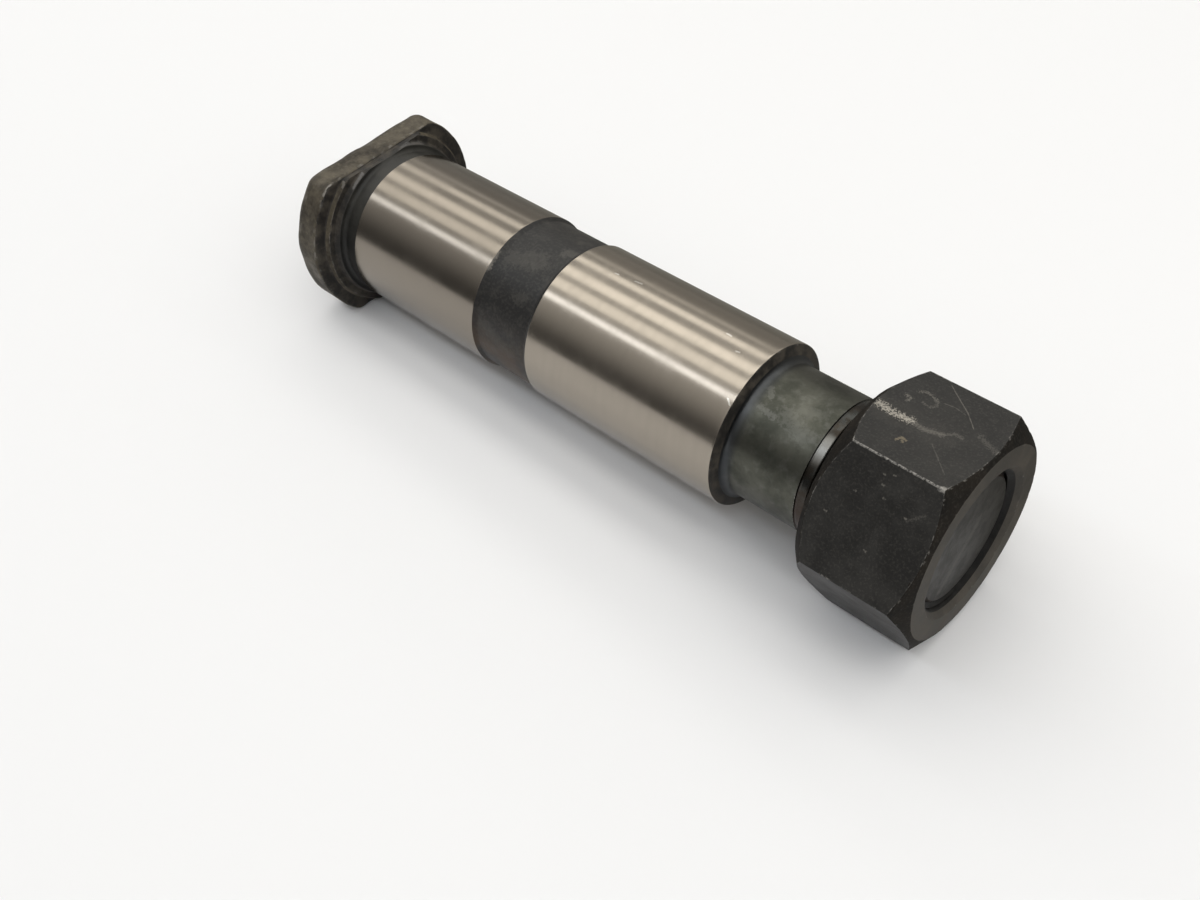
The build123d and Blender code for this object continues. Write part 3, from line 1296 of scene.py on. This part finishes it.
on_ring = soft_step(tree, split["X"], ring_from * MM, ring_to * MM)
# painted shade in the fine groove beside the neck's edge
from_groove = maths(tree, "ABSOLUTE", maths(tree, "SUBTRACT", split["X"], ring_to * MM))
groove_shade = soft_step(tree, from_groove, groove_reach * MM, groove_core * MM)
browned = patchy(tree, scale=500, start=0.42, end=0.62)
underneath = soft_step(tree, split["Z"], ring_brown_from_z * MM, ring_brown_to_z * MM)
# painted highlight: a soft bright streak round 122 degrees, where the front lamp shines on the ring
towards_highlight = maths(tree, "ADD", maths(tree, "MULTIPLY", split["Y"], cos(ring_highlight_angle)),
                    maths(tree, "MULTIPLY", split["Z"], sin(ring_highlight_angle)))
highlight_from = thread_major_r * cos(ring_highlight_breadth) * MM
ring_painted_highlight = soft_step(tree, towards_highlight, highlight_from, thread_major_r * MM, 0.0, ring_highlight_share)
ring_colour = layered(tree, ring_grey, [
    (browned, 1, ring_rust),
    (underneath, 1, ring_brown),
    (ring_painted_highlight, 1, ring_highlight_colour),
])
neck_colour = layered(tree, neck_colour, [
    (on_ring, 1, ring_colour),
    (groove_shade, 0.35, groove_shade_colour),
    (worn_at(tree, wear=0.5, scale=1400), 0.5, edge_bare),
])
feed(tree, shader, {
    "Base Color": neck_colour,
    "Roughness": maths(tree, "SUBTRACT", neck_rough, maths(tree, "MULTIPLY", on_ring, ring_smoother)),
    "Normal": bumped(tree, marks["Height"], depth=0.005),
})
print("neck and ring ready")

# %% [markdown]
# The **thread** keeps oil and a trace of rust in its grooves and is rubbed on its crests. The **end
# face** was parted off: plain grey, with rings and a rubbed line.

# %% Thread
thread_dark = rgb(0.026, 0.026, 0.024)
thread_rust = rgb(0.040, 0.028, 0.021)
crest_bare = rgb(0.24, 0.23, 0.21)

thread_steel, tree, shader = finish("thread_steel", metallic=0.5)
rusty = patchy(tree, scale=300, start=0.40, end=0.66)
worn = worn_at(tree, wear=0.9, scale=900)
feed(tree, shader, {
    "Base Color": layered(tree, thread_dark, [(rusty, 1, thread_rust), (worn, 0.8, crest_bare)]),
    "Roughness": value_between(tree, rusty, 0.38, 0.52),
    "Normal": bumped(tree, grainy(tree, scale=2600, pits=0.3), depth=0.01),
})
print("thread ready")

# %% End face
end_dark = rgb(0.0135, 0.0128, 0.0112)
end_light = rgb(0.0235, 0.0222, 0.0195)
end_rubbed = rgb(0.068, 0.064, 0.058)
end_tone = rgb(0.036, 0.034, 0.030)

end_face, tree, shader = finish("end_face", specular=0.2)
marks = turned(tree, lines=1800, breaks=110)
mottled = patchy(tree, scale=330, start=0.35, end=0.65)
rubbed_line = trail(tree, [(x_tip, 3.2, 2.0), (x_tip, 0.5, -1.0), (x_tip, -6.0, -7.0)], 1.6, 1.1, 0.6)
end_colour = layered(tree, end_dark, [
    (mottled, 1, end_light),
    (rubbed_line, 1, end_rubbed),
    (marks["Tone"], 0.35, end_tone),
])
feed(tree, shader, {
    "Base Color": end_colour,
    "Roughness": value_between(tree, mottled, 0.5, 0.42),
    "Normal": bumped(tree, marks["Height"], depth=0.02),
})
print("end face ready")

# %% [markdown]
# ## Finishes of the nut
# The nut is blackened and was handled a lot: its flats carry pale scuffs and scratches, and its edges are
# rubbed to the steel, most of all the edge between the two flats that face us. The marks are placed on
# the flats after the photograph, in the nut's own directions, with the top flat level; the nut's small
# turn is added afterwards.


# %% Marks on the nut
def on_nut(x, across, up=nut_flat_half):
    """A point on the nut, given as if its top flat were level, turned to where the nut sits."""
    return x, across * cos(nut_turn) - up * sin(nut_turn), across * sin(nut_turn) + up * cos(nut_turn)


def nut_path(*spots):
    """Points on the nut from (x, across), which lie on the top flat, or from (x, across, up)."""
    return [on_nut(*spot) for spot in spots]


nut_corner_y = nut_flat_half * tan(pi / 6)
gritty_scuff = nut_path((50.4, -1.1), (53.3, -1.5), (55.9, -1.3), (58.5, -1.6), (61.1, -0.8))
faint_scuff = nut_path((61.1, -0.8), (62.6, 0.6), (63.6, 0.4))
swirl_back = nut_path((52.4, 3.2), (53.4, 2.9), (53.2, 2.3))
swirl_top = nut_path((53.4, 5.1), (54.6, 5.7), (56.0, 5.3), (56.9, 4.8))
swirl_front = nut_path((56.9, 4.8), (57.2, 3.8), (56.4, 3.0), (55.2, 3.3))
golden_mark = nut_path((56.7, -6.1), (57.1, -5.1), (57.9, -5.4))
golden_foot = nut_path((57.1, -5.1), (57.7, -6.0))
long_scratch = nut_path((56.4, 9.4), (59.6, 7.0), (61.4, 5.7), (63.9, 3.2))
second_scratch = nut_path((57.6, 5.2), (59.5, 5.5), (61.4, 5.1))
front_rub = nut_path((65.4, 2.6), (67.3, 1.6), (68.9, 1.0))
front_scratch = nut_path((61.1, -3.5), (65.7, -7.6))
top_edge = nut_path((52.1, -nut_corner_y), (68.0, -nut_corner_y))
front_corner = nut_path((67.2, -nut_corner_y), (68.0, -nut_corner_y))
side_scratch = nut_path((64.4, -13.6, 12.0), (66.5, -12.6, 13.8))
side_dots = nut_path(
    (58.5, -11.4, 15.9), (59.9, -11.1, 16.4), (58.9, -12.1, 14.6), (59.9, -13.0, 13.1),
    (63.9, -13.5, 12.2), (55.4, -13.5, 12.1), (52.5, -16.0, 7.9), (60.5, -17.1, 5.9))
print("nut marks placed; the top edge runs at y", round(top_edge[0][1], 2), "mm")

# %% Blackened nut
nut_black = rgb(0.0112, 0.0106, 0.0097)
nut_grey = rgb(0.0215, 0.0204, 0.0186)
nut_speck = rgb(0.070, 0.065, 0.057)
nut_pale = rgb(0.36, 0.335, 0.29)
nut_gold = rgb(0.20, 0.165, 0.11)
nut_bare = rgb(0.36, 0.345, 0.32)
dot_length = 0.3
little_share = 0.40
much_share = 0.65
bare_metal = 0.6
scuff_share = 0.8

black_oxide, tree, shader = finish("black_oxide", specular=0.28)
soft_cloud = patchy(tree, scale=150, start=0.36, end=0.66)
speckle = patchy(tree, scale=2600, start=0.47, end=0.72)
dusty_top = trail(tree, gritty_scuff, 6.0, 1.0, 0.13, 700.0)
# points, width in mm, grit, strength, scale of the grit
scuffs = trails(tree, [
    (gritty_scuff[:3], 1.15, 3.6, 0.85, 3400.0),
    (gritty_scuff[2:], 0.8, 3.6, 0.20, 3800.0),
    (gritty_scuff, 1.2, 0.9, 0.07, 1800.0),
    (faint_scuff, 0.6, 2.8, 0.12, 3800.0),
    (swirl_back, 0.55, 3.6, 0.26, 3800.0),
    (swirl_top, 0.45, 3.8, 0.19, 4200.0),
    (swirl_front, 0.4, 3.8, 0.12, 4200.0),
    (long_scratch, 0.18, 1.3, 0.20, 2400.0),
    (second_scratch, 0.17, 1.7, 0.11, 2400.0),
    (front_rub, 0.8, 3.8, 0.09, 4200.0),
    (front_scratch, 0.22, 1.8, 0.09, 2400.0),
    (side_scratch, 0.4, 2.8, 0.08, 3800.0),
])
dots = trails(tree, [([(x, y, z), (x + dot_length, y, z)], 0.34, 1.6, 0.22) for x, y, z in side_dots])
gold = trails(tree, [(golden_mark, 0.5, 1.6, 0.6), (golden_foot, 0.45, 1.6, 0.5)])
little_worn = maths(tree, "MULTIPLY", worn_at(tree, wear=0.42, scale=900), little_share)
much_worn = maths(tree, "MULTIPLY", worn_at(tree, wear=0.75, scale=2200), much_share)
near_top_edge = trail(tree, top_edge, 2.2, 0.3)
near_corner = trail(tree, front_corner, 1.2, 0.9, 0.75, 2200.0)
bare = strongest(tree, [little_worn, maths(tree, "MULTIPLY", much_worn, near_top_edge), near_corner])
nut_colour = layered(tree, nut_black, [
    (soft_cloud, 1, nut_grey),
    (speckle, 0.30, nut_speck),
    (dusty_top, 1, nut_speck),
    (maths(tree, "MAXIMUM", scuffs, dots), 1, nut_pale),
    (gold, 1, nut_gold),
    (bare, 1, nut_bare),
])
scuff_dip = maths(tree, "MULTIPLY", scuffs, scuff_share)
nut_height = maths(tree, "SUBTRACT", grainy(tree, scale=2400, pits=0.35), scuff_dip)
feed(tree, shader, {
    "Base Color": nut_colour,
    "Metallic": maths(tree, "MULTIPLY", bare, bare_metal),
    "Roughness": value_between(tree, maths(tree, "MAXIMUM", scuffs, soft_cloud), 0.44, 0.54),
    "Normal": bumped(tree, nut_height, depth=0.022),
})
print("black oxide ready")

# %% [markdown]
# The nut's end faces and chamfers were turned, which left them dull, with faint rings: the faces a shade
# browner and lighter, the chamfers nearly black, a copy of the face finish darkened as painted shade. The
# hole is nearly black, painted shade in the recess, so that its mouth reads as a dark ring round the pin's
# end. A low specular level keeps the dark faces dark when they are seen flatly.

# %% End faces, chamfer and hole of the nut
face_dark = rgb(0.044, 0.040, 0.034)
face_brown = rgb(0.070, 0.0615, 0.051)
chamfer_shade_dark = rgb(0.009, 0.0083, 0.0073)
chamfer_shade_brown = rgb(0.018, 0.0152, 0.0122)
turned_speck = rgb(0.070, 0.064, 0.056)
turned_bare = rgb(0.24, 0.23, 0.21)
hole_shade_dark = rgb(0.005, 0.0048, 0.0046)
hole_shade_light = rgb(0.012, 0.0113, 0.0105)


def turned_black(name, dark, brown, wear_share, specular):
    """A dull turned face between two dark colours, with some wear along its edges."""
    material, tree, shader = finish(name, specular)
    marks = turned(tree, lines=2600, breaks=70)
    browned = patchy(tree, scale=170, start=0.34, end=0.66)
    colour = layered(tree, dark, [
        (browned, 1, brown),
        (patchy(tree, scale=2300, start=0.47, end=0.72), 0.25, turned_speck),
        (worn_at(tree, wear=0.30, scale=1000), wear_share, turned_bare),
    ])
    feed(tree, shader, {
        "Base Color": colour,
        "Roughness": value_between(tree, browned, 0.66, 0.74),
        "Normal": bumped(tree, marks["Height"], depth=0.01),
    })
    return material


turned_face = turned_black("turned_face", face_dark, face_brown, wear_share=0.4, specular=0.28)
# painted shade: the chamfers take a darker copy of the face finish
turned_chamfer = turned_black("turned_chamfer", chamfer_shade_dark, chamfer_shade_brown, wear_share=0.5, specular=0.08)

# painted shade: the tapped hole is coloured nearly black
oily_hole, tree, shader = finish("oily_hole", specular=0.12)
mottled = patchy(tree, scale=420, start=0.36, end=0.64)
feed(tree, shader, {
    "Base Color": mixed(tree, mottled, hole_shade_dark, hole_shade_light),
    "Roughness": value_between(tree, mottled, 0.42, 0.55),
    "Normal": bumped(tree, grainy(tree, scale=2600, pits=0.3), depth=0.01),
})
print("end faces and hole ready")

# %% [markdown]
# ## Where each finish goes
# A face takes its finish from where it lies: its station along the axis and, on the head and the nut,
# its distance from the axis and the way it faces. Separate objects would do this too, but the real pin is
# one piece of steel, and one mesh with several materials keeps it so. Each finish ends a hair's breadth
# from its station, so that the rows of a rounded edge stay together.

# %% Finishes on the pin
pin_finishes = [
    forged_scale, oily_scale, undercut_black, ground_steel, band_black, oiled_neck, thread_steel, end_face]
SCALE, SHADED, UNDERCUT, GROUND, BAND, NECK, THREAD, END = range(8)
# how far along the axis a normal has to point, and margins and hairs in millimetres
facing_normal = 0.75
rim_margin = 0.6
wall_margin = 0.3
shoulder_margin = 1.0
seat_hair = 0.1
flange_hair = 0.05
land_hair = 0.02
tip_hair = 0.01


def pin_finish(face):
    """Which finish a face of the pin has."""
    x, y, z = face.center / MM
    radius = sqrt(y * y + z * z)
    facing_nut = face.normal.x > facing_normal
    if x < x_flange - rim_margin:
        return SCALE
    if x < x_flange - flange_hair:
        return SHADED if facing_nut else SCALE
    if x < x_seat - seat_hair:
        on_flat = abs(z) > flat_half - boss_flat_step - wall_margin
        on_wall = radius > boss_top_r - wall_margin and x < x_boss - flange_hair and not facing_nut
        return SCALE if on_wall and not on_flat else SHADED
    if x < x_head_land:
        return UNDERCUT
    if x < x_band + land_hair:
        return GROUND
    if x < x_nut_land - land_hair:
        return BAND
    if x < x_shoulder - land_hair:
        return GROUND
    if radius > neck_r + shoulder_margin:
        return SHADED
    if x < x_ridges:
        return NECK
    return THREAD if x < x_tip - tip_hair else END


def put_on(mesh, finishes, finish_of):
    """Gives a mesh its finishes and each of its faces the number of its own."""
    for material in finishes:
        mesh.materials.append(material)
    for face in mesh.polygons:
        face.material_index = finish_of(face)
        face.use_smooth = True
    print(mesh.name, "has", len(mesh.materials), "finishes")


put_on(pin_mesh, pin_finishes, pin_finish)

# %% Finishes on the nut
nut_finishes = [black_oxide, turned_face, turned_chamfer, oily_hole]
OXIDE, FACE, CHAMFER, HOLE = range(4)
# how far along the axis the normals of an end face and of a chamfer point at least
face_normal = 0.6
chamfer_normal = 0.3


def nut_finish(face):
    """Which finish a face of the nut has."""
    x, y, z = face.center / MM
    radius = sqrt(y * y + z * z)
    if radius < nut_front_mouth_r - mouth_depth:
        return HOLE
    face_r = nut_front_face_r if face.normal.x > 0 else nut_back_face_r
    if abs(face.normal.x) > face_normal and radius < face_r:
        return FACE
    return CHAMFER if abs(face.normal.x) > chamfer_normal else OXIDE


put_on(nut_mesh, nut_finishes, nut_finish)

# %% [markdown]
# ## Handing the pieces over
# Each new piece stands for its solid and rides on that solid's body, so that the nut slides off when its
# joint moves.

# %% Pieces
pin = bpy.data.objects.new("spring_pin", pin_mesh)
nut = bpy.data.objects.new("hexagon_nut", nut_mesh)
for piece, stands_for, slot in ((pin, "pin", "pin_steel"), (nut, "nut", "nut_steel")):
    bpy.context.scene.collection.objects.link(piece)
    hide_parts(stands_for)
    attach(piece, stands_for)
print("faces in all:", len(pin_mesh.polygons) + len(nut_mesh.polygons))

bpy.context.scene.view_settings.view_transform = "Standard"
